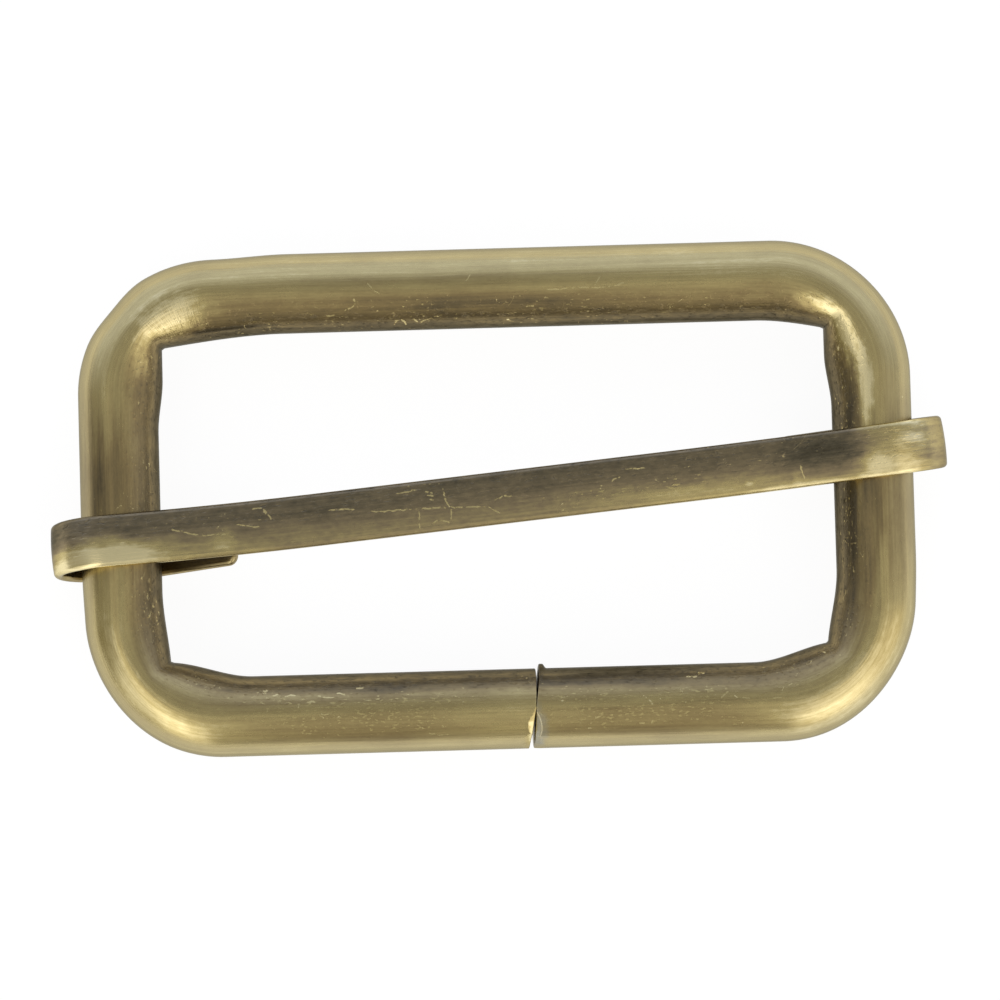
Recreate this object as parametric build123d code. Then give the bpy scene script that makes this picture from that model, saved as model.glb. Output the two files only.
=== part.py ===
"""Two-piece sliding buckle for 38 mm webbing.

A length of round wire is bent to a closed rectangle, with its two nipped ends butted in one long side.
A flat strip lies across it as the middle bar, and each end of the strip is rolled round a short side of
the frame, so that the bar slides along the short sides and can't come off.

Millimetres. The origin is under the middle of the frame, on the surface that the buckle lies on.
+X runs along the webbing's width, +Y is the way the bar slides, +Z is up out of the frame's plane.
"""

import os
from math import atan2, cos, radians, sin, tan

from build123d import *

# Wire frame
OPENING_WIDTH = 38.0  # between the short sides, which is the webbing's width
OPENING_HEIGHT = 19.3  # between the long sides
WIRE_DIAMETER = 4.5
BEND_OUTER_RADIUS = 7.8  # outside of each corner
PINCH_DEPTH = 0.65  # how far the metal crowded into each bend stands in from both sides at the inner corner
PINCH_LENGTH = 4.0  # how far back along each side from the inner corner the crowded metal begins

# Butt joint of the wire's two nipped ends, in the long side at -Y
JOINT_OFFSET = 1.75  # from the middle of that side, towards +X
JOINT_GAP = 0.08  # between the two ends at the ridge where they nearly touch
JOINT_SKEW = 5.3  # turned about +Z, so that the outer edge of the joint is further towards -X
JOINT_TILT = 3.0  # leaning, so that the top of the joint is further towards +X
OUTER_NIP_ANGLE = 3.5  # slope of each end face from the ridge towards the outside of the frame
INNER_NIP_ANGLE = 2.5  # slope of each end face from the ridge towards the opening
JAW_MARK_DEPTH = 0.45  # of the notch that the nippers' jaws pressed across the joint
JAW_MARK_SLOPE = 40.0  # of the notch's two sides
JAW_MARK_PLACE = 45.0  # how far round the wire the notch is, from its outside towards its top

# Strip of the middle bar
STRIP_WIDTH = 2.95
STRIP_THICKNESS = 0.6
STRIP_CROWN = 0.08  # the upper face is domed by this much
STRIP_EDGE_BULGE = 0.22  # the rolled edges stand out sideways by this much

# How the bar lies on the frame
BAR_SKEW = 5.24  # turned about +Z from square, so that the +X end is further towards +Y
BAR_SHIFT = -0.17  # where it lies along its slide, from the middle of the frame
BAR_SLIP = 0.1  # lengthways in its end play, towards +X
LEFT_ROLL = 5.3  # the -X end is twisted by this much, so that its tail lies towards -Y
RIGHT_ROLL = 4.2  # the +X end is twisted by this much the other way
BOW_START = 10.0  # from the bar's middle to where its ends begin to bow sideways
LEFT_BOW = 0.2  # sideways shift of the -X end over the wire, towards +Y
RIGHT_BOW = 0.1  # sideways shift of the +X end over the wire, towards +Y

# Rolled ends of the bar
LOOP_CLEARANCE = 0.3  # between the wire and the inside of a rolled end, above and below
END_PLAY = 0.9  # the wire can shift this much lengthways inside a rolled end
TAIL_START = 0.6  # the tail begins to rise this far inboard of the wire's centre
TAIL_RISE = 25.0  # slope of the tail back up towards the strip
LEFT_TAIL_REACH = 6.37  # from the wire's centre to the tip of the -X tail
RIGHT_TAIL_REACH = 5.2  # from the wire's centre to the tip of the +X tail

STRIP_SECTIONS = 9  # along the loft between the rolled ends

WIRE_RADIUS = WIRE_DIAMETER / 2
FRAME_HALF_X = OPENING_WIDTH / 2 + WIRE_DIAMETER
FRAME_HALF_Y = OPENING_HEIGHT / 2 + WIRE_DIAMETER
BEND_X = FRAME_HALF_X - BEND_OUTER_RADIUS
BEND_Y = FRAME_HALF_Y - BEND_OUTER_RADIUS
BEND_CENTRE_RADIUS = BEND_OUTER_RADIUS - WIRE_RADIUS
BEND_INNER_RADIUS = BEND_OUTER_RADIUS - WIRE_DIAMETER
PINCH_START = BEND_INNER_RADIUS - PINCH_LENGTH
PINCH_SLOPE = atan2(PINCH_DEPTH, PINCH_LENGTH - PINCH_DEPTH)
CORNER_START = PINCH_START - WIRE_RADIUS
WIRE_ALONG_BAR = (FRAME_HALF_X - WIRE_RADIUS) / cos(radians(BAR_SKEW))
ROLL_RADIUS = WIRE_RADIUS + LOOP_CLEARANCE + STRIP_THICKNESS / 2


def corner():
    """One bend about its centre, from a side on its -X hand round to a side on its -Y hand.

    The outside is a round bend. On the inside the metal is crowded: each side leans in towards the
    opening over its last few millimetres, and the two meet in a sharp crease at 45 degrees.
    """
    section = Plane(origin=(CORNER_START, BEND_CENTRE_RADIUS, 0), x_dir=(0, 1, 0), z_dir=(1, 0, 0))
    section *= Circle(WIRE_RADIUS)
    lean_start = PINCH_START + WIRE_RADIUS * tan(PINCH_SLOPE / 2)
    past = BEND_OUTER_RADIUS + WIRE_DIAMETER
    leaning = Polyline(
        (CORNER_START, BEND_CENTRE_RADIUS),
        (lean_start, BEND_CENTRE_RADIUS),
        (past, BEND_CENTRE_RADIUS - (past - lean_start) * tan(PINCH_SLOPE)),
    )
    side = sweep(section, leaning, transition=Transition.RIGHT)
    side += extrude(section, past - CORNER_START)
    crease = Plane(origin=(0, 0, 0), x_dir=(1, 1, 0), z_dir=(1, -1, 0))
    side = split(side, bisect_by=crease, keep=Keep.BOTTOM)
    beyond = Pos(BEND_CENTRE_RADIUS + past / 2, 0) * Rectangle(past, 2 * WIRE_DIAMETER)
    outside = revolve(
        Plane.XZ * (beyond - Pos(BEND_CENTRE_RADIUS, 0) * Circle(WIRE_RADIUS)),
        axis=Axis.Z,
        revolution_arc=90,
    )
    side -= outside
    return side + side.mirror(crease)


def joint_cut():
    """What the nippers left open between the wire's ends: two wedges from the ridge, and the jaws' notch.

    It is drawn about the joint's middle: X along the wire, Y towards the opening, Z up.
    """
    ridge = JOINT_GAP / 2
    reach = WIRE_DIAMETER
    inner = ridge + reach * tan(radians(INNER_NIP_ANGLE))
    outer = ridge + reach * tan(radians(OUTER_NIP_ANGLE))
    wedges = Polygon(
        (ridge, 0),
        (inner, reach),
        (-inner, reach),
        (-ridge, 0),
        (-outer, -reach),
        (outer, -reach),
        align=None,
    )
    place = radians(JAW_MARK_PLACE)
    bottom = WIRE_RADIUS - JAW_MARK_DEPTH
    half_width = reach / tan(radians(JAW_MARK_SLOPE))
    notch = Polygon((0, bottom), (half_width, bottom + reach), (-half_width, bottom + reach), align=None)
    pressed = Plane(origin=(0, 0, 0), x_dir=(1, 0, 0), z_dir=(0, -sin(place), -cos(place)))
    cut = extrude(wedges, reach, both=True) + extrude(pressed * notch, reach, both=True)
    return Pos(JOINT_OFFSET, WIRE_RADIUS - FRAME_HALF_Y, 0) * Rot(0, JOINT_TILT, -JOINT_SKEW) * cut


def wire_frame():
    """The bent wire, about its own centre: one quarter, mirrored both ways, less the joint."""
    long_start = Plane(origin=(0, FRAME_HALF_Y - WIRE_RADIUS, 0), x_dir=(0, 1, 0), z_dir=(1, 0, 0))
    short_start = Plane(origin=(FRAME_HALF_X - WIRE_RADIUS, 0, 0), x_dir=(1, 0, 0), z_dir=(0, 1, 0))
    quarter = Pos(BEND_X, BEND_Y, 0) * corner()
    quarter += extrude(long_start * Circle(WIRE_RADIUS), BEND_X + CORNER_START)
    quarter += extrude(short_start * Circle(WIRE_RADIUS), BEND_Y + CORNER_START)
    half = quarter + quarter.mirror(Plane.YZ)
    return half + half.mirror(Plane.XZ) - joint_cut()


def strip_section():
    """The flat-rolled strip's section: width along X, upper face towards +Y."""
    flat = STRIP_WIDTH / 2 - STRIP_EDGE_BULGE
    top, bottom = STRIP_THICKNESS / 2, -STRIP_THICKNESS / 2
    shoulder = top - STRIP_CROWN
    middle = (shoulder + bottom) / 2
    edges = [
        Line((-flat, bottom), (flat, bottom)),
        ThreePointArc((flat, bottom), (STRIP_WIDTH / 2, middle), (flat, shoulder)),
        ThreePointArc((flat, shoulder), (0, top), (-flat, shoulder)),
        ThreePointArc((-flat, shoulder), (-STRIP_WIDTH / 2, middle), (-flat, bottom)),
    ]
    return make_face(edges)


def bow_at(x):
    """Sideways shift of the strip's middle at x along the bar, and the slope there."""
    past = max(0.0, abs(x) - BOW_START)
    reach = WIRE_ALONG_BAR - BOW_START
    if x < 0:
        return LEFT_BOW * (past / reach) ** 2, -2 * LEFT_BOW * past / reach**2
    return RIGHT_BOW * (past / reach) ** 2, 2 * RIGHT_BOW * past / reach**2


def strip_plane(x):
    """The plane of the strip's section at x along the bar, facing +X, with the twist and the bow."""
    shift, slope = bow_at(x)
    share = (x / WIRE_ALONG_BAR + 1) / 2
    roll = radians(RIGHT_ROLL * share - LEFT_ROLL * (1 - share))
    forward = Vector(1, slope, 0).normalized()
    level = Vector(-forward.Y, forward.X, 0)
    across = level * cos(roll) + Vector(0, 0, sin(roll))
    return Plane(origin=(x, shift, ROLL_RADIUS), x_dir=across, z_dir=forward)


def rolled_end(plane, tail_reach):
    """One end of the strip, from over the wire out round it and back under it, beyond the given plane.

    The path is drawn in the plane of the roll: X outward from the wire's centre, Y up, the wire at (0, 0).
    """
    turn = radians(TAIL_RISE)
    bend_end = Vector(-TAIL_START - ROLL_RADIUS * sin(turn), -ROLL_RADIUS * cos(turn))
    tail = (tail_reach + bend_end.X) / cos(turn)
    tip = bend_end + Vector(-cos(turn), sin(turn)) * tail
    path = [
        Line((0, ROLL_RADIUS), (END_PLAY, ROLL_RADIUS)),
        ThreePointArc((END_PLAY, ROLL_RADIUS), (END_PLAY + ROLL_RADIUS, 0), (END_PLAY, -ROLL_RADIUS)),
        Line((END_PLAY, -ROLL_RADIUS), (-TAIL_START, -ROLL_RADIUS)),
        ThreePointArc(
            (-TAIL_START, -ROLL_RADIUS),
            (-TAIL_START - ROLL_RADIUS * sin(turn / 2), -ROLL_RADIUS * cos(turn / 2)),
            bend_end,
        ),
        Line(bend_end, tip),
    ]
    centre = plane.origin - plane.y_dir * ROLL_RADIUS
    roll_plane = Plane(origin=centre, x_dir=plane.z_dir, z_dir=plane.z_dir.cross(plane.y_dir))
    return sweep(plane * strip_section(), roll_plane * Wire(path))


def slide_bar():
    """The strip with its two rolled ends, about the frame's centre."""
    xs = [WIRE_ALONG_BAR * (2 * i / (STRIP_SECTIONS - 1) - 1) for i in range(STRIP_SECTIONS)]
    strip = loft([strip_plane(x) * strip_section() for x in xs])
    right = strip_plane(WIRE_ALONG_BAR)
    left = strip_plane(-WIRE_ALONG_BAR)
    left = Plane(origin=left.origin, x_dir=-left.x_dir, z_dir=-left.z_dir)
    bar = strip + rolled_end(right, RIGHT_TAIL_REACH) + rolled_end(left, LEFT_TAIL_REACH)
    return Pos(0, BAR_SHIFT, 0) * Rot(0, 0, BAR_SKEW) * Pos(BAR_SLIP, 0, 0) * bar


bar = slide_bar()
frame = wire_frame()
lift = -bar.bounding_box().min.Z
os.makedirs("parts", exist_ok=True)
for name, solid in {"wire_frame": frame, "slide_bar": bar}.items():
    export_step(Pos(0, 0, lift) * solid, f"parts/{name}.step")
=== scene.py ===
"""Looks of a two-piece sliding buckle in antique brass: a bent wire frame and a strip rolled round it."""

from math import atan2, cos, inf, pi, radians, sin, tan

import bmesh
import bpy
from mathutils import Matrix, Vector


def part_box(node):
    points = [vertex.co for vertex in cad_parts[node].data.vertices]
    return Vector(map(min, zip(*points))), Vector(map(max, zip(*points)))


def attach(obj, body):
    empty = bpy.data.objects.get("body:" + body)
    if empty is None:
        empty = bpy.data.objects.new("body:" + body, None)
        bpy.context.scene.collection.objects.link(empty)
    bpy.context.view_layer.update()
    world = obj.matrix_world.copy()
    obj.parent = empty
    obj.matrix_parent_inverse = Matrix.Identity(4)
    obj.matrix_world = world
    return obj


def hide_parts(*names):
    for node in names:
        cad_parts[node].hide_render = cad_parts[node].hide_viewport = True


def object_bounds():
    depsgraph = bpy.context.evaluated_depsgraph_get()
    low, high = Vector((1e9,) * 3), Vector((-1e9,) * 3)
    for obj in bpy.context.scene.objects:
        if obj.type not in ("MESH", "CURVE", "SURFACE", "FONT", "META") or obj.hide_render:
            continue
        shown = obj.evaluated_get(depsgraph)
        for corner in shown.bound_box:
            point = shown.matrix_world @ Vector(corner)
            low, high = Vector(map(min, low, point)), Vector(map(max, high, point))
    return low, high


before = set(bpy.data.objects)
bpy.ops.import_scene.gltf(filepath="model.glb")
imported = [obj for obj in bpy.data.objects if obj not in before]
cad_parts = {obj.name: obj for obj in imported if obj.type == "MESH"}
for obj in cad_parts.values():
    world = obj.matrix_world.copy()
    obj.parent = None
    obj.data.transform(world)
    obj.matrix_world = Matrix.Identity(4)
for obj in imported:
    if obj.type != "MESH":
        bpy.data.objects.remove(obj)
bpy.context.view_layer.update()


# ------------------------------------------------------------------------------------------------
# The wire frame: one length of round steel wire, brass plated, darkened and brushed. It was nipped
# off a coil and bent round four pegs, so its ends butt in one long side and nothing joins them.
# It is shaped here in the same order: straight wire, nipped ends, then the bends and their dents.
# ------------------------------------------------------------------------------------------------
MM = 0.001  # sizes are in millimetres, and a finished mesh is scaled by this
wire_low, wire_high = (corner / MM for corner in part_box("wire_frame"))
WIRE_RADIUS = (wire_high.z - wire_low.z) / 2
WIRE_LEVEL = (wire_high.z + wire_low.z) / 2  # the height of its centre line
BEND_OUTER_RADIUS = 7.8
BEND_RADIUS = BEND_OUTER_RADIUS - WIRE_RADIUS
BEND_INNER_RADIUS = BEND_RADIUS - WIRE_RADIUS
HALF_LONG_SIDE = wire_high.x - BEND_OUTER_RADIUS
HALF_SHORT_SIDE = wire_high.y - BEND_OUTER_RADIUS
JOINT_OFFSET = 1.75  # of the butted ends from the middle of the long side at -Y

WIRE_FACES_ROUND = 64
WIRE_FACES_ALONG = 480
END_LENGTH = 1.0  # the bar starts this much too long, and has no rings this near a cut until it is made
END_RINGS = 24  # the steps in which each end gets its rings once it is nipped

# The nippers closed from the outside and the inside, and left each end with a ridge between two slopes.
JOINT_SKEW = radians(5.3)  # the outer edge of the joint is further towards -X
JOINT_TILT = radians(3.0)  # the top of the joint is further towards +X
OUTER_NIP_ANGLE = radians(3.5)
INNER_NIP_ANGLE = radians(2.5)
END_EDGE = 0.05  # the nipped edges are rounded by this much
END_EDGE_FACES = 2
NIPPED_EDGE_ANGLE = radians(30)

# The jaws pressed flats into the rim of each end: how far round the wire from its outside towards its
# top each is, its slope and its depth. They also raised a lip on the inside of the first end.
FIRST_END_FLATS = ((radians(55), radians(35), 0.27), (radians(20), radians(20), 0.26))
LAST_END_FLATS = ((radians(64), radians(20), 0.13), (radians(28), radians(17), 0.24))
LIP_HEIGHT = 0.25
LIP_PLACE = 0.2  # along the wire from its end
LIP_LENGTH = 0.33
LIP_SPREAD = radians(50)  # round the wire
LIP_CREST = 0.3  # the share of its length and spread where it is at its full height

# Metal crowded into the inside of each bend, in the order of the bends from the joint: on the side
# before the bend and on the side after it, how far it stands in, and between which distances back
# from the opening's corner it swells to that.
CROWDING = (
    ((1.05, 4.8, 0.0), (0.65, 5.1, 0.3)),
    ((0.33, 5.0, 2.0), (1.00, 4.2, -3.5)),
    ((1.10, 7.2, -5.0), (0.30, 5.4, 2.4)),
    ((0.42, 5.0, 0.2), (0.90, 5.0, 0.2)),
)
CROWDING_STEPS = 8  # in which the place of the crowded edge within a bend is found
LEAST_COSINE = 0.3  # keeps those steps from running away along a side
THINNING = (0.07, 0.05, 0.07, 0.07)  # the stretched outside of each bend stands in by this much

# The bending tool also pressed the outside flatter: where along the wire, half its length, how deep.
PRESSED = ((20.2, 5.0, 0.18), (75.8, 4.5, 0.2), (80.3, 1.8, 0.17), (98.8, 5.0, 0.17))


def walk(runs, distance, start=(0, 0)):
    """The point and heading after a distance along (length, turn) runs, which start along +X."""
    point = Vector(start)
    heading = 0.0
    for length, turn in runs[:-1] + [(inf, 0.0)]:
        step = min(distance, length)
        if turn:
            swept = turn * step / length
            chord = Vector((sin(heading + swept) - sin(heading), cos(heading) - cos(heading + swept)))
            point += chord * length / turn
            heading += swept
        else:
            point += Vector((cos(heading), sin(heading))) * step
        distance -= step
        if distance <= 0:
            break
    return point, heading


def smooth(low, high, value):
    """0 below low and 1 above high, or the other way round, with a smooth rise between."""
    share = min(1.0, max(0.0, (value - low) / (high - low)))
    return share * share * (3 - 2 * share)


BEND_LENGTH = BEND_RADIUS * pi / 2
wire_runs = [(HALF_LONG_SIDE - JOINT_OFFSET, 0.0)]
for side in (HALF_SHORT_SIDE, HALF_LONG_SIDE, HALF_SHORT_SIDE):
    wire_runs += [(BEND_LENGTH, pi / 2), (2 * side, 0.0)]
wire_runs += [(BEND_LENGTH, pi / 2), (HALF_LONG_SIDE + JOINT_OFFSET, 0.0)]
WIRE_LENGTH = sum(length for length, turn in wire_runs)
BEND_STARTS = [sum(length for length, turn in wire_runs[:bend]) for bend in range(1, len(wire_runs), 2)]


def crowded(side, back):
    """How far the metal stands into the opening, at a distance back from the opening's corner."""
    depth, begins, ends = side
    return depth * smooth(begins, ends, back)


def section_reach(along):
    """How far the wire reaches inwards and outwards from its centre line, at a place along it."""
    inward = WIRE_RADIUS
    outward = WIRE_RADIUS
    for start, (before, after), thinning in zip(BEND_STARTS, CROWDING, THINNING):
        past = along - start
        if past < 0:
            inward += crowded(before, BEND_INNER_RADIUS - past)
        elif past > BEND_LENGTH:
            inward += crowded(after, BEND_INNER_RADIUS + past - BEND_LENGTH)
        else:
            turned = past / BEND_RADIUS
            edges = []
            for side, angle in ((before, turned), (after, pi / 2 - turned)):
                edge = BEND_INNER_RADIUS
                for _ in range(CROWDING_STEPS):
                    back = BEND_INNER_RADIUS - edge * sin(angle)
                    edge = (BEND_INNER_RADIUS - crowded(side, back)) / max(cos(angle), LEAST_COSINE)
                edges.append(edge)
            inward = BEND_RADIUS - min(edges)
            outward -= thinning * sin(2 * turned) ** 2
    for place, half_length, depth in PRESSED:
        outward -= depth * smooth(1.0, 0.0, abs(along - place) / half_length)
    return inward, outward


def bend_wire(stock):
    """Where a point of the straight wire goes: (along, out, up) to its place in the frame."""
    along, out, up = stock
    inward, outward = section_reach(along)
    centre, heading = walk(wire_runs, along, (JOINT_OFFSET, -HALF_SHORT_SIDE - BEND_RADIUS))
    out *= (outward if out > 0 else inward) / WIRE_RADIUS
    side = Vector((sin(heading), -cos(heading))) * out
    return Vector((centre.x + side.x, centre.y + side.y, WIRE_LEVEL + up))


def cut_away(mesh, point, direction):
    """Cuts off what lies beyond a plane, and closes the cut with a flat face."""
    whole = mesh.verts[:] + mesh.edges[:] + mesh.faces[:]
    cut = bmesh.ops.bisect_plane(mesh, geom=whole, plane_co=point, plane_no=direction, clear_outer=True)
    rim = [part for part in cut["geom_cut"] if isinstance(part, bmesh.types.BMEdge)]
    bmesh.ops.contextual_create(mesh, geom=rim)


def nip(mesh, end, direction, flats):
    """Shapes one end of the straight wire as nippers leave it: two slopes from a ridge, and flats."""
    across = Vector((1, tan(JOINT_SKEW), -tan(JOINT_TILT))) * direction
    for slope in (tan(OUTER_NIP_ANGLE), -tan(INNER_NIP_ANGLE)):
        cut_away(mesh, Vector((end, 0, 0)), across + Vector((0, slope, 0)))
    for place, slope, depth in flats:
        outward = Vector((0, cos(place), sin(place)))
        bottom = Vector((end, 0, 0)) + outward * (WIRE_RADIUS - depth)
        cut_away(mesh, bottom, across * tan(slope) + outward)


def wire_mesh():
    """The straight wire, from round bar to nipped ends with a lip."""
    mesh = bmesh.new()
    bmesh.ops.create_circle(
        mesh, cap_ends=True, segments=WIRE_FACES_ROUND, radius=WIRE_RADIUS,
        matrix=Matrix.Translation((-END_LENGTH, 0, 0)) @ Matrix.Rotation(pi / 2, 4, "Y"),
    )
    face = mesh.faces[:][0]
    for stretch in (2 * END_LENGTH, WIRE_LENGTH - 2 * END_LENGTH, 2 * END_LENGTH):
        grown = bmesh.ops.extrude_face_region(mesh, geom=[face])["geom"]
        bmesh.ops.delete(mesh, geom=[face], context="FACES_ONLY")
        face = [part for part in grown if isinstance(part, bmesh.types.BMFace)][0]
        bmesh.ops.translate(mesh, verts=face.verts[:], vec=(stretch, 0, 0))
    long_edges = [edge for edge in mesh.edges if edge.calc_length() > 3 * END_LENGTH]
    bmesh.ops.subdivide_edges(mesh, edges=long_edges, cuts=WIRE_FACES_ALONG, use_grid_fill=True)
    nip(mesh, 0.0, -1, FIRST_END_FLATS)
    nip(mesh, WIRE_LENGTH, 1, LAST_END_FLATS)
    nipped = [edge for edge in mesh.edges if edge.calc_face_angle() > NIPPED_EDGE_ANGLE]
    bmesh.ops.bevel(
        mesh, geom=nipped, offset=END_EDGE, segments=END_EDGE_FACES, profile=0.5,
        affect="EDGES", material=-1,
    )
    for ring in range(1, END_RINGS):
        for place in (ring * END_LENGTH / END_RINGS, WIRE_LENGTH - ring * END_LENGTH / END_RINGS):
            bmesh.ops.bisect_plane(
                mesh, geom=mesh.verts[:] + mesh.edges[:] + mesh.faces[:],
                plane_co=(place, 0, 0), plane_no=(1, tan(JOINT_SKEW), 0),
            )
    for vert in mesh.verts:
        past = (vert.co.x + vert.co.y * tan(JOINT_SKEW) - LIP_PLACE) / LIP_LENGTH
        turned = atan2(vert.co.z, -vert.co.y) / LIP_SPREAD
        vert.co.y -= LIP_HEIGHT * smooth(1.0, LIP_CREST, (past ** 2 + turned ** 2) ** 0.5)
    return mesh


SHARP_ANGLE = radians(40)  # faces that meet at more than this show an edge


def formed(name, mesh, form):
    """Makes an object of straight stock, which keeps each point's place in the stock and is then bent."""
    stock = mesh.verts.layers.float_vector.new("stock")
    for vert in mesh.verts:
        vert[stock] = vert.co
        vert.co = form(vert.co) * MM
    bmesh.ops.recalc_face_normals(mesh, faces=mesh.faces[:])
    data = bpy.data.meshes.new(name)
    mesh.to_mesh(data)
    mesh.free()
    data.shade_smooth()
    data.set_sharp_from_angle(angle=SHARP_ANGLE)
    piece = bpy.data.objects.new(name, data)
    bpy.context.scene.collection.objects.link(piece)
    return piece


class Field:
    """A value, colour or vector that varies over a surface. Arithmetic on it adds Math nodes."""

    def __init__(self, socket):
        self.socket = socket

    def node(self, kind, settings=None, sockets=None, output=0):
        """Adds a node of that kind: its settings come first, then values or links for its sockets."""
        tree = self.socket.id_data
        made = tree.nodes.new("ShaderNode" + kind)
        for name, value in (settings or {}).items():
            if name == "stops":
                while len(made.color_ramp.elements) < len(value):
                    made.color_ramp.elements.new(1.0)
                for element, (place, tone) in zip(made.color_ramp.elements, value):
                    element.position = place
                    element.color = (*tone, 1.0)
            else:
                setattr(made, name, value)
        for name, value in (sockets or {}).items():
            if isinstance(value, Field):
                tree.links.new(value.socket, made.inputs[name])
            else:
                made.inputs[name].default_value = value
        return Field(made.outputs[output])

    def maths(self, operation, first, second):
        return self.node("Math", {"operation": operation}, {0: first, 1: second})

    def __add__(self, other):
        return self.maths("ADD", self, other)

    def __radd__(self, other):
        return self.maths("ADD", other, self)

    def __sub__(self, other):
        return self.maths("SUBTRACT", self, other)

    def __rsub__(self, other):
        return self.maths("SUBTRACT", other, self)

    def __mul__(self, other):
        return self.maths("MULTIPLY", self, other)

    def __rmul__(self, other):
        return self.maths("MULTIPLY", other, self)

    def __truediv__(self, other):
        return self.maths("DIVIDE", self, other)

    def __pow__(self, other):
        return self.maths("POWER", self, other)


def colour(red, green, blue):
    """A colour from its everyday 0 to 255 values, as a shader needs it: with the sRGB curve undone."""
    shares = [value / 255 for value in (red, green, blue)]
    return tuple(s / 12.92 if s <= 0.04045 else ((s + 0.055) / 1.055) ** 2.4 for s in shares)


def rise(value, low, high):
    """0 where the value is below low and 1 where it is above high, or the other way round."""
    sockets = {"Value": value, "From Min": low, "From Max": high}
    return value.node("MapRange", {"interpolation_type": "SMOOTHSTEP"}, sockets)


FIRST_COLOUR, SECOND_COLOUR, MIXED_COLOUR = 6, 7, 2  # a Mix node's two colour inputs and colour output


def mixed(factor, first, second):
    """The first colour where the factor is 0, and the second where it is 1."""
    first, second = ((*tone, 1.0) if isinstance(tone, tuple) else tone for tone in (first, second))
    sockets = {"Factor": factor, FIRST_COLOUR: first, SECOND_COLOUR: second}
    return factor.node("Mix", {"data_type": "RGBA"}, sockets, MIXED_COLOUR)


def coordinates(vector, axes):
    """The coordinates of a vector along those axes, such as "YZ"."""
    return [vector.node("SeparateXYZ", {}, {"Vector": vector}, axis) for axis in axes]


def grain(stock, strength, length, width, detail, seed):
    """Noise about 0 that is drawn out along the stock: its strength, how long its marks are, how wide."""
    drawn = stock.node(
        "VectorMath", {"operation": "MULTIPLY_ADD"},
        {0: stock, 1: (1 / length, 1 / width, 1 / width), 2: (seed, seed, seed)},
    )
    noise = stock.node("TexNoise", {}, {"Vector": drawn, "Scale": 1.0, "Detail": detail})
    return strength * (noise - 0.5)


def new_material(name):
    """A new material, its shader, and the place in the stock that its patterns follow."""
    material = bpy.data.materials.new(name)
    material.use_nodes = True
    tree = material.node_tree
    attribute = tree.nodes.new("ShaderNodeAttribute")
    attribute.attribute_name = "stock"
    return material, tree.nodes["Principled BSDF"], Field(attribute.outputs["Vector"])


MARK_RIM = 1.4  # a mark fades in from here, in shares of its size from its middle
MARK_CORE = 0.3  # and has its full strength within this


def marks(stock, places, edge):
    """Soft marks at given places: their strength inside them and 0 outside, with a broken edge.

    Each has its place (along, across, up) in the stock, half its size in those directions, and its
    strength. The edge is the grain that breaks it up.
    """
    ragged = grain(stock, *edge)
    shown = []
    for place, size, strength in places:
        share = stock.node(
            "VectorMath", {"operation": "MULTIPLY_ADD"},
            {0: stock, 1: [1 / s for s in size], 2: [-p / s for p, s in zip(place, size)]},
        )
        reach = share.node("VectorMath", {"operation": "LENGTH"}, {0: share}, "Value")
        shown.append(rise(reach + ragged, MARK_RIM, MARK_CORE) * strength)
    return sum(shown)


# Flecks, scuffed patches, hairlines and the hairlines' breaks. A grain is given as its strength, length,
# width and detail, with its seed last or added later. What it draws begins at the first of its levels and
# is whole at the second. Rubbing adds to a grain, and a share is how bare a whole fleck or hairline is.
FLECK_GRAIN = (1.0, 0.28, 0.13, 2.0)
FLECK_LEVELS = (0.1, 0.26)
FLECK_SHARE = 0.8
FLECK_RUBBING = 0.11
SCUFF_GRAIN = (1.0, 2.6, 1.2, 2.0)
SCUFF_LEVELS = (0.0, 0.12)
SCUFF_RUBBING = 0.3
HAIRLINE_GRAIN = (1.0, 1.6, 1.6, 0.0)
HAIRLINE_LEVELS = (0.012, 0.0)
HAIRLINE_SHARE = 0.6
HAIRLINE_BREAKS = (1.0, 0.8, 0.8, 1.0)
HAIRLINE_BREAK_LEVELS = (0.02, 0.1)


def bare_spots(stock, rubbed, seed):
    """Flecks and hair scratches down to bare brass, which are close together where the piece is rubbed."""
    flecks = rise(grain(stock, *FLECK_GRAIN, seed) + FLECK_RUBBING * rubbed, *FLECK_LEVELS)
    scuffed = rise(grain(stock, *SCUFF_GRAIN, seed + 1) + SCUFF_RUBBING * rubbed, *SCUFF_LEVELS)
    whole = rise(grain(stock, *HAIRLINE_BREAKS, seed + 2), *HAIRLINE_BREAK_LEVELS)
    # A hairline runs where its grain passes through 0.
    off_line = stock.maths("ABSOLUTE", grain(stock, *HAIRLINE_GRAIN, seed + 3), 0.0)
    hairlines = rise(off_line, *HAIRLINE_LEVELS) * whole
    return (flecks * FLECK_SHARE + hairlines * HAIRLINE_SHARE) * scuffed


SCRATCH_WANDER = (3.5, 0.35, 0.35, 2.0)  # its strength is in shares of the scratch's half width
SCRATCH_BREAKS = (1.0, 0.3, 0.3, 2.0)
SCRATCH_BREAK_LEVELS = (-0.22, 0.0)
SCRATCH_EDGE = (1.0, 0.2)  # the squares of the shares of its half width between which it fades
SCRATCH_END_HARDNESS = 8.0  # the power that its length counts with, which makes its ends square
SCRATCHED_FROM = (0.0, 0.1)  # millimetres up: only the stock's upper half has the listed scratches


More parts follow.
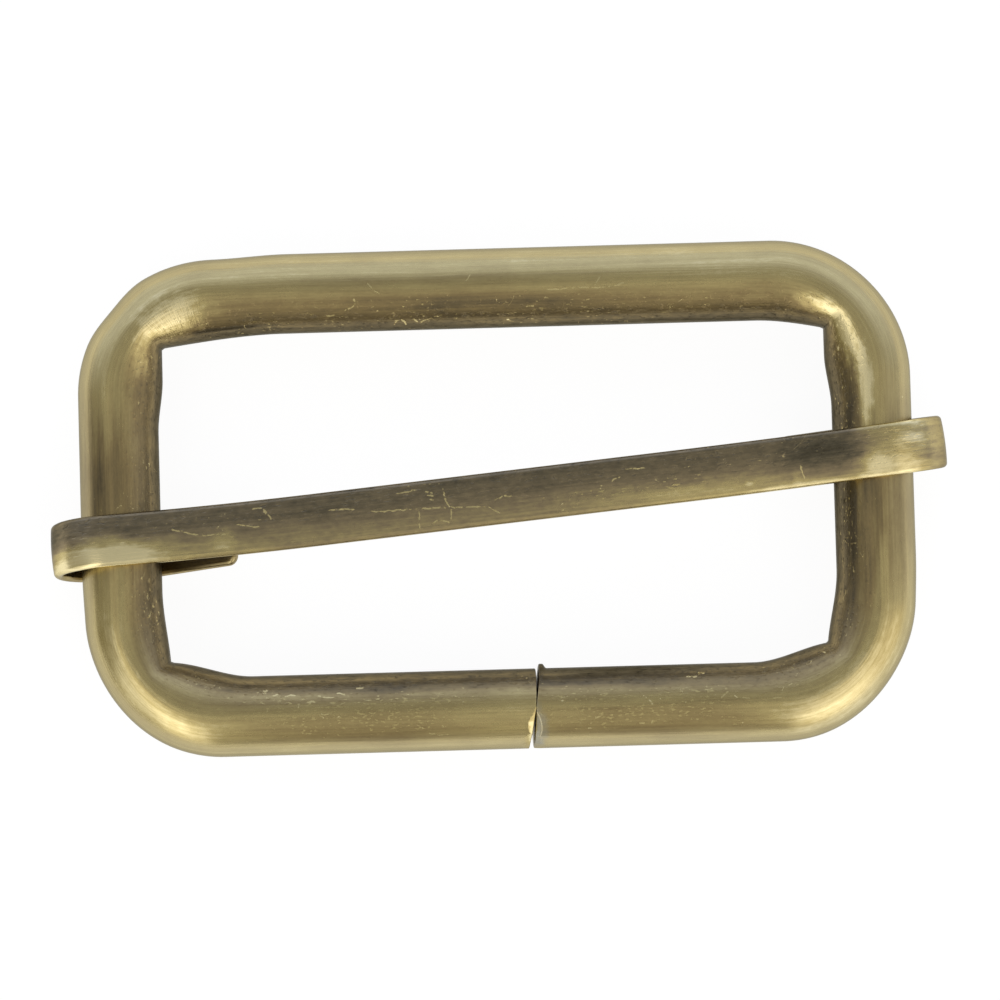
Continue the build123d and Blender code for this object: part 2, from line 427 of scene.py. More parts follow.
def scratched(stock, up, paths, half_width, seed):
    """Listed scratches on the upper face: 1 along each path from point to point, and 0 elsewhere."""
    wander = grain(stock, *SCRATCH_WANDER, seed)
    whole = rise(grain(stock, *SCRATCH_BREAKS, seed + 1), *SCRATCH_BREAK_LEVELS)
    shown = []
    for start, end in (pair for path in paths for pair in zip(path, path[1:])):
        run = Vector(end) - Vector(start)
        middle = (Vector(start) + Vector(end)).to_3d() / 2
        forward = run.normalized()
        past = stock.node("VectorMath", {"operation": "SUBTRACT"}, {0: stock, 1: middle})
        lengthways, sideways = (
            past.node("VectorMath", {"operation": "DOT_PRODUCT"}, {0: past, 1: axis}, "Value")
            for axis in (forward.to_3d() * 2 / run.length, forward.orthogonal().to_3d() / half_width)
        )
        off_line = lengthways ** SCRATCH_END_HARDNESS + (sideways + wander) ** 2.0
        shown.append(rise(off_line, *SCRATCH_EDGE))
    return sum(shown) * whole * rise(up, *SCRATCHED_FROM)


# The finish's tones, from the darkest film to bare brass, and the place of each on the scale of tones.
BARE_BRASS = colour(248, 233, 182)
WORN_BRASS = colour(201, 184, 129)
GREY_FILM_AND_RIM_REFLECTION = colour(172, 168, 150)  # a grey mixed in at the outer rims as a painted reflection of the pale table and tent, and on the first end's dull flats
UNWORN_TONE = 0.25
WORN_TONE = 0.8
TONE_PLACES = (0.0, UNWORN_TONE, 0.5, WORN_TONE, 1.0)
EDGE_TINT = (0.55, 0.54, 0.50, 1.0)  # the dull film keeps the edges from shining white

# Brushing, speckle and pits: their grains, what they add to the wear, and how deep they go.
BRUSH_GRAIN = (1.0, 4.0, 0.11, 3.0, 0.0)
BRUSH_WEAR = 0.3
BRUSH_DEPTH = 0.008
SPECKLE = (0.25, 0.3, 0.1, 3.0, 7.0)
PIT_GRAIN = (1.0, 0.3, 0.16, 2.0, 71.0)
PIT_LEVELS = (0.05, 0.25)
PIT_WEAR = 0.35
PIT_DEPTH = 0.03

FINISH_ROUGHNESS = 0.32
WEAR_POLISH = 0.05  # wear and bare brass take this much off the roughness, and brushing varies it
BARE_POLISH = 0.04
BRUSH_ROUGHNESS = 0.06


def brass_plate(shader, stock, tones, paleness, bare, pitted, grey_and_reflection=None, dented=0.0):
    """Brass plate under a brown finish, whose paleness goes from 0 for dark to 1 for pale, with wear and
    any painted highlights and shade in it, or bare in spots.
    """
    brushed = grain(stock, *BRUSH_GRAIN)
    pits = rise(grain(stock, *PIT_GRAIN), *PIT_LEVELS) * pitted
    paleness = paleness + BRUSH_WEAR * brushed + grain(stock, *SPECKLE) - PIT_WEAR * pits
    level = UNWORN_TONE + (WORN_TONE - UNWORN_TONE) * paleness
    level = level.maths("MAXIMUM", level, bare)
    shade = level.node("ValToRGB", {"stops": tuple(zip(TONE_PLACES, tones))}, {"Fac": level})
    # A grey mixed in where it is given: on the wire, a painted reflection at its outer rims, and the first
    # end's dull flats.
    if grey_and_reflection:
        shade = mixed(grey_and_reflection, shade, GREY_FILM_AND_RIM_REFLECTION)
    roughness = FINISH_ROUGHNESS - WEAR_POLISH * paleness + BRUSH_ROUGHNESS * brushed - BARE_POLISH * bare
    height = (BRUSH_DEPTH * brushed - PIT_DEPTH * pits + dented) * MM
    bump = height.node("Bump", {}, {"Height": height, "Distance": 1.0, "Strength": 1.0})
    links = shader.id_data.links
    links.new(shade.socket, shader.inputs["Base Color"])
    links.new(roughness.socket, shader.inputs["Roughness"])
    links.new(bump.socket, shader.inputs["Normal"])
    shader.inputs["Metallic"].default_value = 1.0
    shader.inputs["Specular Tint"].default_value = EDGE_TINT


WIRE_TONES = (colour(46, 40, 28), colour(107, 97, 76), colour(153, 135, 96), WORN_BRASS, BARE_BRASS)

# Grains of the wire's finish. The brown of the inside begins where drift and place add up to the first
# level, and is full at the second. Only the brown is mottled.
WIRE_DRIFT = (0.7, 8.0, 2.5, 3.0, 5.0)
WIRE_BROWN_LEVELS = (-0.1, 0.9)
WIRE_BANDS = (0.5, 14.0, 0.4, 3.0, 11.0)
WIRE_CLOUDS = (0.35, 2.2, 1.4, 5.0, 21.0)
WIRE_MOTTLE = (0.5, 0.7, 0.35, 4.0, 151.0)

# Paleness, from 0 for dark to 1 for pale: the outside's wear, and what brown and marks take or add, with
# painted highlights and painted shade among the marks.
WIRE_OUTSIDE_WEAR = 0.93
WIRE_BROWN_WEAR = 0.74
WIRE_INNER_RIM_WEAR = 0.3
WIRE_RUB_AND_HIGHLIGHT_PALING = 0.45
WIRE_PATINA_AND_SHADE_DARKENING = 0.4

# Marks on the wire: along it from the joint, outwards and up, then half sizes, then strength.
# Rubbed brass and painted highlights: pale marks where the soft boxes' highlights fall at the bends, on
# the inner sides of the upper corners and the outsides of the lower corners.
WIRE_RUBS_AND_HIGHLIGHTS = (
    ((78.6, -0.8, 2.0), (2.8, 1.2, 3.0), 1.3),
    ((82.2, -1.2, 1.9), (0.9, 0.4, 3.0), 0.6),
    ((38.9, -0.9, 2.0), (3.3, 0.7, 1.7), 1.7),
    ((34.6, -0.45, 2.2), (2.6, 0.45, 1.6), 1.15),
    ((29.0, -0.95, 2.0), (2.4, 0.18, 3.0), 0.8),
    ((101.3, 0.8, 2.0), (4.5, 0.7, 3.0), 0.6),
    ((17.5, 0.75, 2.0), (4.3, 1.35, 3.0), 0.65),
)
WIRE_RUB_AND_HIGHLIGHT_EDGE = (1.1, 0.6, 0.3, 3.0, 81.0)
# Dark patina and painted shade: darker in the upper left corner's crease, under the fold at the upper
# right, beside the bar's loops on both short sides, along the right side's outer rim and along the lower
# side.
WIRE_PATINA_AND_SHADE = (
    ((75.3, -1.85, 1.3), (3.2, 0.1, 3.0), 1.0),
    ((66.5, -1.2, 1.9), (7.0, 0.12, 3.0), 0.4),
    ((64.0, -0.7, 2.0), (9.0, 0.45, 3.0), 0.5),
    ((63.0, 0.1, 2.2), (10.0, 0.7, 3.0), 0.35),
    ((58.0, -1.0, 2.0), (6.5, 0.45, 3.0), 0.5),
    ((34.5, -0.95, 1.8), (2.4, 0.25, 3.0), 1.0),
    ((28.0, -0.3, 2.2), (5.5, 0.7, 3.0), 1.2),
    ((29.0, -1.35, 1.8), (7.0, 0.3, 3.0), 1.0),
    ((29.0, 1.2, 1.8), (5.5, 1.3, 3.0), 0.9),
    ((29.0, -1.95, 1.0), (5.0, 0.3, 3.0), 0.5),
    ((90.0, 1.6, 1.7), (5.5, 0.9, 3.0), 1.0),
    ((90.0, 0.3, 2.2), (4.5, 1.2, 3.0), 1.4),
    ((5.5, -1.9, 1.2), (5.0, 0.35, 3.0), 0.8),
    ((6.5, 0.9, 1.8), (7.5, 1.0, 3.0), 1.0),
    ((4.0, -1.4, 1.8), (12.0, 0.4, 3.0), 0.35),
    ((118.0, -1.4, 1.8), (12.0, 0.4, 3.0), 0.35),
    ((114.0, 0.9, 1.8), (7.0, 1.0, 3.0), 0.9),
)
WIRE_PATINA_AND_SHADE_EDGE = (1.1, 4.0, 0.4, 3.0, 91.0)

# Fine dents across the wire, left by the bending tool at the upper left corner.
CROSS_MARKS = (((78.6, -0.8, 2.0), (2.6, 1.2, 3.0), 1.0),)
CROSS_MARKS_EDGE = (1.1, 0.5, 0.5, 3.0, 111.0)
CROSS_GRAIN = (0.6, 0.07, 1.2, 3.0, 101.0)
CROSS_MARK_DEPTH = 0.012

# The nippers burnished the last end's flats and left the first end's dull.
NIPPED_BRIGHT = (
    ((WIRE_LENGTH - 0.05, 1.5, 1.3), (0.5, 1.5, 3.0), 0.95),
    ((WIRE_LENGTH - 0.2, -0.6, 2.0), (0.6, 1.0, 3.0), 0.2),
)
NIPPED_BRIGHT_EDGE = (1.1, 0.5, 0.5, 3.0, 121.0)
NIPPED_DULL = (((0.0, 1.1, 1.8), (0.65, 1.3, 3.0), 1.0),)
NIPPED_DULL_EDGE = (1.1, 0.5, 0.5, 3.0, 131.0)

# Where the wire has more flecks, or fewer.
WIRE_FLECKED = (
    ((6.0, 0.2, 2.2), (8.5, 1.2, 3.0), 1.1),
    ((114.0, 0.2, 2.2), (9.5, 1.2, 3.0), 1.1),
    ((6.0, -1.5, 1.6), (9.0, 0.7, 3.0), -0.5),
    ((115.0, -1.5, 1.6), (9.0, 0.7, 3.0), -0.5),
)
WIRE_FLECKED_EDGE = (1.1, 2.0, 0.5, 3.0, 141.0)
WIRE_FLECK_SEED = 31.0
BROWN_FLECKS = 0.5
BROWN_PITS = 0.5

# Where each rim begins and is full, in shares of the wire's radius outwards.
INNER_RIM = (-0.8, -1.0)
FLECKED_FROM_RIM = (-0.95, -0.7)
OUTER_RIM = (0.5, 1.0)
# How much grey the outer rim takes, as a painted reflection of the pale table and tent.
OUTER_RIM_REFLECTION = 0.4

# Scratches on top of the wire, from point to point: how far along and how far out each point is.
WIRE_SCRATCHES = (
    ((65.36, -2.0), (64.95, -1.68), (64.61, -2.04)), ((64.25, -1.7), (63.95, -1.95), (63.09, -1.72)),
    ((56.8, -0.4), (55.0, -0.32), (53.3, -0.34), (52.2, -0.12)), ((61.27, 0.2), (60.86, 0.66)),
    ((54.03, -0.27), (53.61, 0.32)), ((57.9, -1.24), (57.4, -1.25)), ((67.5, -0.56), (67.5, -0.93)),
    ((68.1, -1.28), (67.5, -0.93)), ((69.1, -1.49), (68.6, -1.44)),
    ((66.8, 0.27), (66.4, -0.16), (66.0, -0.36)), ((45.9, -0.17), (45.5, -0.28)),
    ((45.0, 0.22), (44.6, 0.2)), ((117.1, 1.29), (117.6, 1.37), (118.3, 1.37)),
    ((117.86, 0.71), (117.95, 1.0)), ((3.1, 1.04), (3.35, 0.69), (3.8, 0.6)),
    ((5.8, 0.96), (6.3, 1.12)), ((107.9, -1.34), (108.2, -1.37)),
    ((108.4, -1.05), (108.8, -1.15)), ((109.1, -0.99), (109.9, -1.07)), ((110.2, -0.68), (110.9, -0.66)),
    ((110.9, -0.99), (112.0, -0.86)), ((112.0, -1.1), (112.7, -1.02)), ((113.1, -1.35), (113.6, -1.36)),
    ((111.0, 0.05), (111.8, 0.02)), ((110.0, 1.09), (110.6, 1.14)), ((8.5, -1.49), (9.2, -1.47)),
    ((9.2, -1.73), (9.6, -1.66)), ((13.1, -0.14), (13.9, -0.17)),
    ((13.8, -0.36), (14.0, -0.73), (14.6, -0.77)), ((11.3, -0.28), (12.1, -0.17)),
    ((10.4, -0.22), (10.9, -0.62)), ((6.5, 1.12), (6.6, 0.71)), ((8.7, 0.86), (9.2, 0.92)),
)
WIRE_SCRATCH_HALF_WIDTH = 0.06
WIRE_SCRATCH_SEED = 161.0
SCRATCH_BARENESS = 0.85


def wire_finish():
    """The frame's finish: brown inside the frame and worn pale round its outside, brushed lengthways, with
    painted highlights at the bends, painted shade in creases and beside the bar's loops, and outer rims
    greyed as a painted reflection.
    """
    material, shader, stock = new_material("antique_brass_wire")
    out, up = coordinates(stock, "YZ")
    reach = out / WIRE_RADIUS
    brown = rise(grain(stock, *WIRE_DRIFT) - reach, *WIRE_BROWN_LEVELS)
    paleness = WIRE_OUTSIDE_WEAR - WIRE_BROWN_WEAR * brown - WIRE_INNER_RIM_WEAR * rise(reach, *INNER_RIM)
    paleness = paleness + grain(stock, *WIRE_BANDS) + grain(stock, *WIRE_CLOUDS)
    paleness = paleness + grain(stock, *WIRE_MOTTLE) * brown
    # Painted highlights at the bends, partly rubbed brass.
    paleness = paleness + WIRE_RUB_AND_HIGHLIGHT_PALING * marks(stock, WIRE_RUBS_AND_HIGHLIGHTS, WIRE_RUB_AND_HIGHLIGHT_EDGE)
    # Painted shade in the creases and beside the bar's loops, partly dark patina.
    paleness = paleness - WIRE_PATINA_AND_SHADE_DARKENING * marks(stock, WIRE_PATINA_AND_SHADE, WIRE_PATINA_AND_SHADE_EDGE)
    crossed = grain(stock, *CROSS_GRAIN) * marks(stock, CROSS_MARKS, CROSS_MARKS_EDGE)
    flecked = BROWN_FLECKS * brown * rise(reach, *FLECKED_FROM_RIM)
    flecked = flecked + marks(stock, WIRE_FLECKED, WIRE_FLECKED_EDGE)
    bare = bare_spots(stock, flecked, WIRE_FLECK_SEED)
    scratches = scratched(stock, up, WIRE_SCRATCHES, WIRE_SCRATCH_HALF_WIDTH, WIRE_SCRATCH_SEED)
    nipped = marks(stock, NIPPED_BRIGHT, NIPPED_BRIGHT_EDGE)
    for layer in (SCRATCH_BARENESS * scratches, nipped):
        bare = bare.maths("MAXIMUM", bare, layer)
    # The outer rim is greyed as a painted reflection, except on the burnished flats; the first end's flats
    # are dull grey.
    rim_reflection_and_grey = rise(reach, *OUTER_RIM) * (OUTER_RIM_REFLECTION - OUTER_RIM_REFLECTION * nipped)
    rim_reflection_and_grey = rim_reflection_and_grey + marks(stock, NIPPED_DULL, NIPPED_DULL_EDGE)
    brass_plate(
        shader, stock, WIRE_TONES, paleness + crossed, bare,
        pitted=BROWN_PITS * brown, grey_and_reflection=rim_reflection_and_grey, dented=CROSS_MARK_DEPTH * crossed,
    )
    return material


wire = formed("bent_wire", wire_mesh(), bend_wire)
wire.data.materials.append(wire_finish())
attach(wire, "frame")
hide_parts("wire_frame")


# ------------------------------------------------------------------------------------------------
# The sliding bar: one length of flat-rolled strip, with its edges rounded by the rolls. It lies
# across the frame, and each end is rolled round a short side and back under it, with a little play.
# The ends are rolled one after the other, so they are twisted slightly against each other.
# ------------------------------------------------------------------------------------------------
STRIP_WIDTH = 2.95
STRIP_THICKNESS = 0.6
STRIP_CROWN = 0.08  # the upper face is this much lower along its edges
STRIP_EDGE_RADIUS = 0.24
STRIP_EDGE_FACES = 5
TIP_CORNER_RADIUS = 0.55
TIP_CORNER_FACES = 8
STRIP_FACES_ALONG = 460
STRIP_FACES_ACROSS = 12

BAR_SKEW = radians(5.24)
BAR_PLACE = Vector((0.1, -0.17))  # its middle, along itself and then along its slide
LEFT_ROLL = radians(5.3)  # the strip's turn about its own length at each end
RIGHT_ROLL = radians(4.2)
BOW_START = 10.0  # from the middle, beyond which the strip bows sideways by so much at each end
LEFT_BOW = 0.2
RIGHT_BOW = 0.1

LOOP_CLEARANCE = 0.3  # between the wire and the inside of a roll
END_PLAY = 0.9  # of straight strip over the wire's outer half before it is rolled
TAIL_START = 0.6  # of straight strip under the wire's inner half before the tail rises
TAIL_RISE = radians(25)
LEFT_TAIL_REACH = 6.37  # of the tails' tips back from the wire's middle
RIGHT_TAIL_REACH = 5.2

WIRE_ALONG_BAR = (HALF_LONG_SIDE + BEND_RADIUS) / cos(BAR_SKEW)
ROLL_RADIUS = WIRE_RADIUS + LOOP_CLEARANCE + STRIP_THICKNESS / 2


def roll_runs(tail_reach):
    """The strip's path past the wire: out, round the wire's outside, back under it, and up."""
    tail = (tail_reach - TAIL_START - ROLL_RADIUS * sin(TAIL_RISE)) / cos(TAIL_RISE)
    return [
        (END_PLAY, 0.0),
        (ROLL_RADIUS * pi, -pi),
        (END_PLAY + TAIL_START, 0.0),
        (ROLL_RADIUS * TAIL_RISE, -TAIL_RISE),
        (tail, 0.0),
    ]


LEFT_RUNS = roll_runs(LEFT_TAIL_REACH)
RIGHT_RUNS = roll_runs(RIGHT_TAIL_REACH)
LEFT_END = -WIRE_ALONG_BAR - sum(length for length, turn in LEFT_RUNS)
RIGHT_END = WIRE_ALONG_BAR + sum(length for length, turn in RIGHT_RUNS)


def straight_part(along):
    """The strip's section between the two rolls: its directions forward, across and up, and its middle."""
    past = max(0.0, abs(along) - BOW_START)
    reach = WIRE_ALONG_BAR - BOW_START
    bow = LEFT_BOW if along < 0 else RIGHT_BOW
    forward = Vector((1, 2 * bow * past / reach ** 2 * (-1 if along < 0 else 1), 0)).normalized()
    share = (along / WIRE_ALONG_BAR + 1) / 2
    roll = RIGHT_ROLL * share - LEFT_ROLL * (1 - share)
    level = Vector((-forward.y, forward.x, 0))
    across = level * cos(roll) + Vector((0, 0, sin(roll)))
    origin = Vector((along, bow * (past / reach) ** 2, ROLL_RADIUS))
    return forward, across, forward.cross(across), origin


def bend_strip(stock):
    """Where a point of the straight strip goes: (along, across, up) to its place on the frame."""
    along, across_by, up_by = stock
    over_wire = min(WIRE_ALONG_BAR, max(-WIRE_ALONG_BAR, along))
    forward, across, up, origin = straight_part(over_wire)
    beyond = along - over_wire
    if beyond:
        outward = forward if beyond > 0 else -forward
        runs = RIGHT_RUNS if beyond > 0 else LEFT_RUNS
        place, heading = walk(runs, abs(beyond), (0, ROLL_RADIUS))
        centre = origin - up * ROLL_RADIUS
        origin = centre + outward * place.x + up * place.y
        up = up * cos(heading) - outward * sin(heading)
    point = origin + across * across_by + up * up_by
    point = point + Vector((BAR_PLACE.x, 0, WIRE_LEVEL))
    point.rotate(Matrix.Rotation(BAR_SKEW, 3, "Z"))
    point.y += BAR_PLACE.y
    return point


def strip_mesh():
    """The straight strip: its corners and edges rounded, and its upper face domed."""
    mesh = bmesh.new()
    length = RIGHT_END - LEFT_END
    bmesh.ops.create_cube(mesh, size=1.0)
    bmesh.ops.scale(mesh, verts=mesh.verts[:], vec=(length, STRIP_WIDTH, STRIP_THICKNESS))
    bmesh.ops.translate(mesh, verts=mesh.verts[:], vec=((RIGHT_END + LEFT_END) / 2, 0, 0))
    upright = [edge for edge in mesh.edges if edge.verts[0].co.z * edge.verts[1].co.z < 0]
    bmesh.ops.bevel(
        mesh, geom=upright, offset=TIP_CORNER_RADIUS, segments=TIP_CORNER_FACES, profile=0.5,
        affect="EDGES", material=-1,
    )
    rims = [edge for edge in mesh.edges if edge.verts[0].co.z * edge.verts[1].co.z > 0]
    bmesh.ops.bevel(
        mesh, geom=rims, offset=STRIP_EDGE_RADIUS, segments=STRIP_EDGE_FACES, profile=0.5,
        affect="EDGES", material=-1,
    )
    for step in range(1, STRIP_FACES_ACROSS):
        bmesh.ops.bisect_plane(
            mesh, geom=mesh.verts[:] + mesh.edges[:] + mesh.faces[:],
            plane_co=(0, STRIP_WIDTH * (step / STRIP_FACES_ACROSS - 0.5), 0), plane_no=(0, 1, 0),
        )
    long_edges = [edge for edge in mesh.edges if edge.calc_length() > WIRE_ALONG_BAR]
    bmesh.ops.subdivide_edges(mesh, edges=long_edges, cuts=STRIP_FACES_ALONG, use_grid_fill=True)
    for vert in mesh.verts:
        if vert.co.z > 0:
            vert.co.z -= STRIP_CROWN * (2 * vert.co.y / STRIP_WIDTH) ** 2
    return mesh


STRIP_TONES = (colour(48, 44, 34), colour(102, 95, 78), colour(151, 136, 107), WORN_BRASS, BARE_BRASS)

# Grains of the strip's finish. Its lower edge, where drift and place add up to these levels, is paler.
STRIP_DRIFT = (0.7, 5.0, 1.2, 4.0, 205.0)
STRIP_LOWER_LEVELS = (-0.25, 0.4)
STRIP_BANDS = (0.3, 12.0, 0.3, 3.0, 211.0)
STRIP_CLOUDS = (0.35, 1.4, 0.9, 5.0, 221.0)
STRIP_MOTTLE = (0.45, 0.5, 0.3, 4.0, 251.0)
STRIP_FLECK_SEED = 231.0
STRIP_PITS = 0.4

# Wear, from 0 for dark to 1 for pale: that of the upper edge, and what the rest adds or takes.
STRIP_UPPER_WEAR = 0.21
STRIP_LOWER_WEAR = 0.4
STRIP_PALE_WEAR = 0.95
STRIP_RUBBED_WEAR = 0.2
STRIP_DARK_WEAR = 0.25

# Marks on the strip: along it from the bar's middle, across and up, then half sizes, then strength.
STRIP_PALE = (
    ((22.3, 0.0, 0.3), (2.1, 4.0, 3.0), 0.75),
    ((25.3, 0.9, 0.3), (2.8, 1.6, 3.0), 0.55),
    ((-22.5, -1.3, 0.3), (4.6, 1.4, 3.0), 0.9),
    ((-16.0, -1.2, 0.3), (3.5, 0.5, 3.0), 0.3),
    ((11.5, -1.1, 0.3), (5.5, 0.6, 3.0), 0.35),
    ((17.5, -1.35, 0.3), (3.0, 0.25, 3.0), 0.6),
)
STRIP_PALE_EDGE = (1.1, 2.5, 0.5, 3.0, 285.0)
STRIP_RUBBED = (
    ((21.2, -0.5, 0.3), (0.8, 0.6, 1.0), 1.3),
    ((16.7, -0.9, 0.3), (0.3, 0.6, 1.0), 0.8),
    ((-21.8, -0.6, 0.3), (1.6, 0.8, 1.0), 1.0),
    ((-15.5, -0.6, 0.3), (0.7, 0.6, 1.0), 1.6),
    ((13.9, -0.9, 0.3), (0.3, 0.16, 1.0), 1.8),
    ((8.0, -0.6, 0.3), (6.0, 0.6, 1.0), 0.7),
)
STRIP_RUBBED_EDGE = (1.1, 0.5, 0.3, 3.0, 281.0)
STRIP_DARK = (
    ((18.8, 0.3, 0.3), (2.9, 1.0, 1.0), 1.2),
    ((-26.0, 0.4, 0.3), (2.0, 0.7, 1.0), 1.0),
)
STRIP_DARK_EDGE = (1.1, 1.0, 0.6, 3.0, 291.0)

# Scratches on top of the strip, from point to point: how far along and how far across each point is.
STRIP_SCRATCHES = (
    ((-7.3, 0.06), (-4.8, -0.09), (-2.9, -0.21), (-0.7, -0.41)),
    ((-3.26, 1.2), (-3.06, 0.77), (-2.83, -0.27)), ((-5.74, 0.89), (-4.19, 1.0)),
    ((-4.07, 0.84), (-3.63, 0.64)), ((-3.99, 0.63), (-3.6, 0.48)), ((-3.87, 0.36), (-3.63, 0.25)),
    ((-4.5, -0.17), (-4.63, -1.27)), ((-2.73, -0.28), (-2.78, -1.09)),
    ((-3.94, -1.06), (-3.5, -0.85), (-2.83, -1.09)), ((-0.28, -0.17), (0.25, 0.07), (0.75, 0.01)),
    ((6.33, 0.15), (6.89, 0.39)), ((7.14, 0.79), (8.34, 0.65)), ((-0.73, -0.47), (0.04, -0.87)),
    ((3.37, -1.07), (3.76, -1.17)), ((-13.8, 1.0), (-13.2, 0.93), (-12.75, 0.25)),
    ((-14.8, 0.2), (-13.4, -0.1)), ((-18.5, 0.3), (-16.8, -0.2), (-15.2, -0.3)),
    ((-9.6, 0.45), (-8.0, 0.32)), ((16.9, -0.2), (17.1, -1.1)),
)
STRIP_SCRATCH_HALF_WIDTH = 0.065
STRIP_SCRATCH_SEED = 241.0


def strip_finish():
    """The bar's finish: greyer than the frame's, dark along one edge, and rubbed where it is rolled."""
    material, shader, stock = new_material("antique_brass_strip")
    across, up = coordinates(stock, "YZ")
    lower = rise(grain(stock, *STRIP_DRIFT) - across / STRIP_WIDTH, *STRIP_LOWER_LEVELS)
    rubbed = marks(stock, STRIP_RUBBED, STRIP_RUBBED_EDGE)
    paleness = STRIP_UPPER_WEAR + STRIP_LOWER_WEAR * lower
    paleness = paleness + grain(stock, *STRIP_BANDS) + grain(stock, *STRIP_CLOUDS) + grain(stock, *STRIP_MOTTLE)
    paleness = paleness + STRIP_PALE_WEAR * marks(stock, STRIP_PALE, STRIP_PALE_EDGE) + STRIP_RUBBED_WEAR * rubbed
    paleness = paleness - STRIP_DARK_WEAR * marks(stock, STRIP_DARK, STRIP_DARK_EDGE)
    bare = bare_spots(stock, rubbed, STRIP_FLECK_SEED)
    scratches = scratched(stock, up, STRIP_SCRATCHES, STRIP_SCRATCH_HALF_WIDTH, STRIP_SCRATCH_SEED)
    bare = bare.maths("MAXIMUM", bare, SCRATCH_BARENESS * scratches)
    brass_plate(shader, stock, STRIP_TONES, paleness, bare, pitted=STRIP_PITS - STRIP_PITS * lower)
    return material


strip = formed("rolled_strip", strip_mesh(), bend_strip)
strip.data.materials.append(strip_finish())
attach(strip, "bar")
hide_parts("slide_bar")


# ------------------------------------------------------------------------------------------------
# The studio: a white table, a soft box at each front corner, and a pale tent all round with two lit
# panels over its front. None of it is part of the buckle.
# ------------------------------------------------------------------------------------------------
TABLE_SIZE = 3.0
TABLE_WHITE = (0.88, 0.88, 0.88, 1.0)
TABLE_ROUGHNESS = 0.9
TABLE_GLOW = 1.09  # the light of the even white that the table is mostly seen as
TABLE_GLOW_SHARE = 0.85  # the rest of what is seen is the lit board, with its shadows

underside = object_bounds()[0].z
table_mesh = bmesh.new()
bmesh.ops.create_grid(table_mesh, x_segments=1, y_segments=1, size=TABLE_SIZE / 2)
bmesh.ops.translate(table_mesh, verts=table_mesh.verts[:], vec=(0, 0, underside))
table_data = bpy.data.meshes.new("table")
table_mesh.to_mesh(table_data)
table_mesh.free()
table = bpy.data.objects.new("table", table_data)
bpy.context.scene.collection.objects.link(table)


def table_finish():
    """White board. Where it is seen, most of it is even white, so that its shadows stay faint."""
    material = bpy.data.materials.new("white_board")
    material.use_nodes = True
    tree = material.node_tree
    board = tree.nodes["Principled BSDF"]
    board.inputs["Base Color"].default_value = TABLE_WHITE
    board.inputs["Roughness"].default_value = TABLE_ROUGHNESS
    board.inputs["Specular IOR Level"].default_value = 0.0
    glow = tree.nodes.new("ShaderNodeEmission")
    glow.inputs["Strength"].default_value = TABLE_GLOW
    path = tree.nodes.new("ShaderNodeLightPath")
    seen = sum(Field(path.outputs[f"Is {kind} Ray"]) for kind in ("Camera", "Glossy", "Transmission"))
    surface = seen.node(
        "MixShader", {},
        {0: seen * TABLE_GLOW_SHARE, 1: Field(board.outputs[0]), 2: Field(glow.outputs[0])},
    )
    tree.links.new(surface.socket, tree.nodes["Material Output"].inputs["Surface"])
    return material


table.data.materials.append(table_finish())


def soft_box(name, azimuth, elevation, distance, width, height, brightness):
    """An even rectangular lamp that faces the buckle. Brightness 1 is as bright as white paper."""
    lamp = bpy.data.lights.new(name, "AREA")
    lamp.shape = "RECTANGLE"
    lamp.size = width
    lamp.size_y = height
    lamp.energy = brightness * pi * width * height
    box = bpy.data.objects.new(name, lamp)
    turn = radians(azimuth)
    tilt = radians(elevation)
    towards = Vector((sin(turn) * cos(tilt), -cos(turn) * cos(tilt), sin(tilt)))
    box.location = towards * distance
    box.rotation_euler = towards.to_track_quat("Z", "Y").to_euler()
    bpy.context.scene.collection.objects.link(box)


soft_box("right_lamp", azimuth=33, elevation=28, distance=0.4, width=0.25, height=0.27, brightness=0.42)
soft_box("left_lamp", azimuth=-45, elevation=28, distance=0.4, width=0.27, height=0.34, brightness=0.5)

# The tent's light by direction: cool daylight from behind and the right, warmer from the front and left.
TENT_FRONT = (0.315, 0.305, 0.27)
TENT_LEFT = (0.29, 0.27, 0.20)
TENT_RIGHT = (0.45, 0.46, 0.50)
TENT_BACK = (0.82, 0.90, 1.16)
TENT_TOP = (0.41, 0.415, 0.41)
LEFT_PANEL = (1.25, 1.20, 1.08)
RIGHT_PANEL = (1.0, 0.95, 0.86)

tent = bpy.data.worlds.new("tent")
bpy.context.scene.world = tent
tent.use_nodes = True
background = tent.node_tree.nodes["Background"]
direction = Field(tent.node_tree.nodes.new("ShaderNodeTexCoord").outputs["Generated"])
east, north, zenith = coordinates(direction, "XYZ")

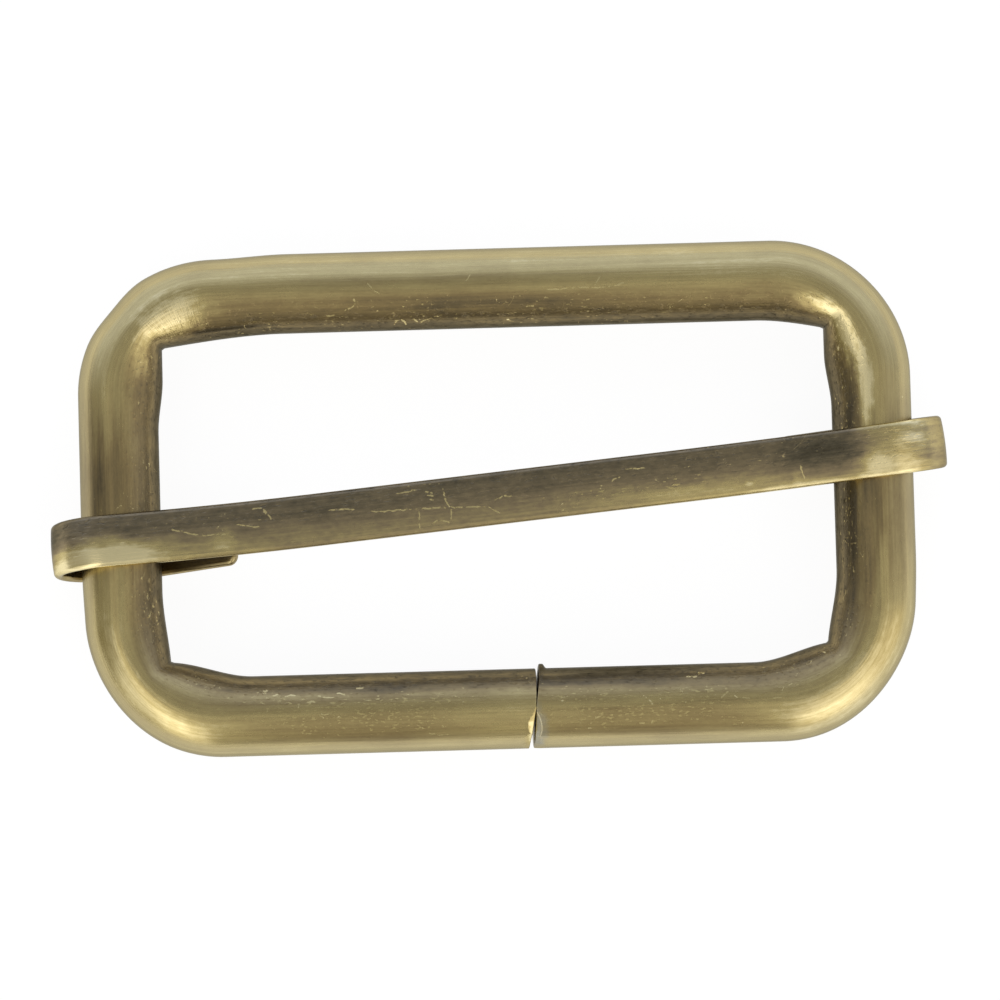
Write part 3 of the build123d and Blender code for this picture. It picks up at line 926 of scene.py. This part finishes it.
# Each wall lies over the ones before it: it begins at the first share of its direction, and is whole
# at the second. The lit panels lie over all the walls, between their sides and ahead of the buckle.
walls = TENT_FRONT
for way, begins, whole, light in (
    (east, 0.1, -0.8, TENT_LEFT),
    (east, 0.1, 0.8, TENT_RIGHT),
    (north, -0.1, 0.65, TENT_BACK),
    (zenith, 0.55, 0.96, TENT_TOP),
):
    walls = mixed(rise(way, begins, whole), walls, light)
ahead = rise(north, 0.06, -0.12)
left_sides = rise(east, -0.08, -0.24) * rise(east, -0.62, -0.42)
right_sides = rise(east, 0.05, 0.18)
for sides, light in ((left_sides, LEFT_PANEL), (right_sides, RIGHT_PANEL)):
    walls = mixed(sides * ahead, walls, light)
tent.node_tree.links.new(walls.socket, background.inputs["Color"])
background.inputs["Strength"].default_value = 1.0

# The camera looks down from the front, slightly turned about its own line of sight.
VIEW_WIDTH = 56.4
LENS = 200
SENSOR_WIDTH = 36
CAMERA_ELEVATION = radians(86.5)
CAMERA_ROLL = radians(1.6)
CAMERA_AIM = Vector((0.158, -0.10))  # millimetres right and up of the frame's centre
camera_data = bpy.data.cameras.new("camera")
camera_data.lens = LENS
camera_data.sensor_width = SENSOR_WIDTH
camera = bpy.data.objects.new("camera", camera_data)
upright = Vector((0, sin(CAMERA_ELEVATION), cos(CAMERA_ELEVATION)))
back = Vector((0, -cos(CAMERA_ELEVATION), sin(CAMERA_ELEVATION)))
level = Vector((1, 0, 0))
right = level * cos(CAMERA_ROLL) - upright * sin(CAMERA_ROLL)
top = level * sin(CAMERA_ROLL) + upright * cos(CAMERA_ROLL)
turned = Matrix((right, top, back)).transposed().to_4x4()
aim = (right * CAMERA_AIM.x + top * CAMERA_AIM.y + Vector((0, 0, WIRE_LEVEL))) * MM
distance = VIEW_WIDTH * MM * LENS / SENSOR_WIDTH
camera.matrix_world = Matrix.Translation(aim + back * distance) @ turned
bpy.context.scene.collection.objects.link(camera)
bpy.context.scene.camera = camera
bpy.context.scene.view_settings.view_transform = "Standard"
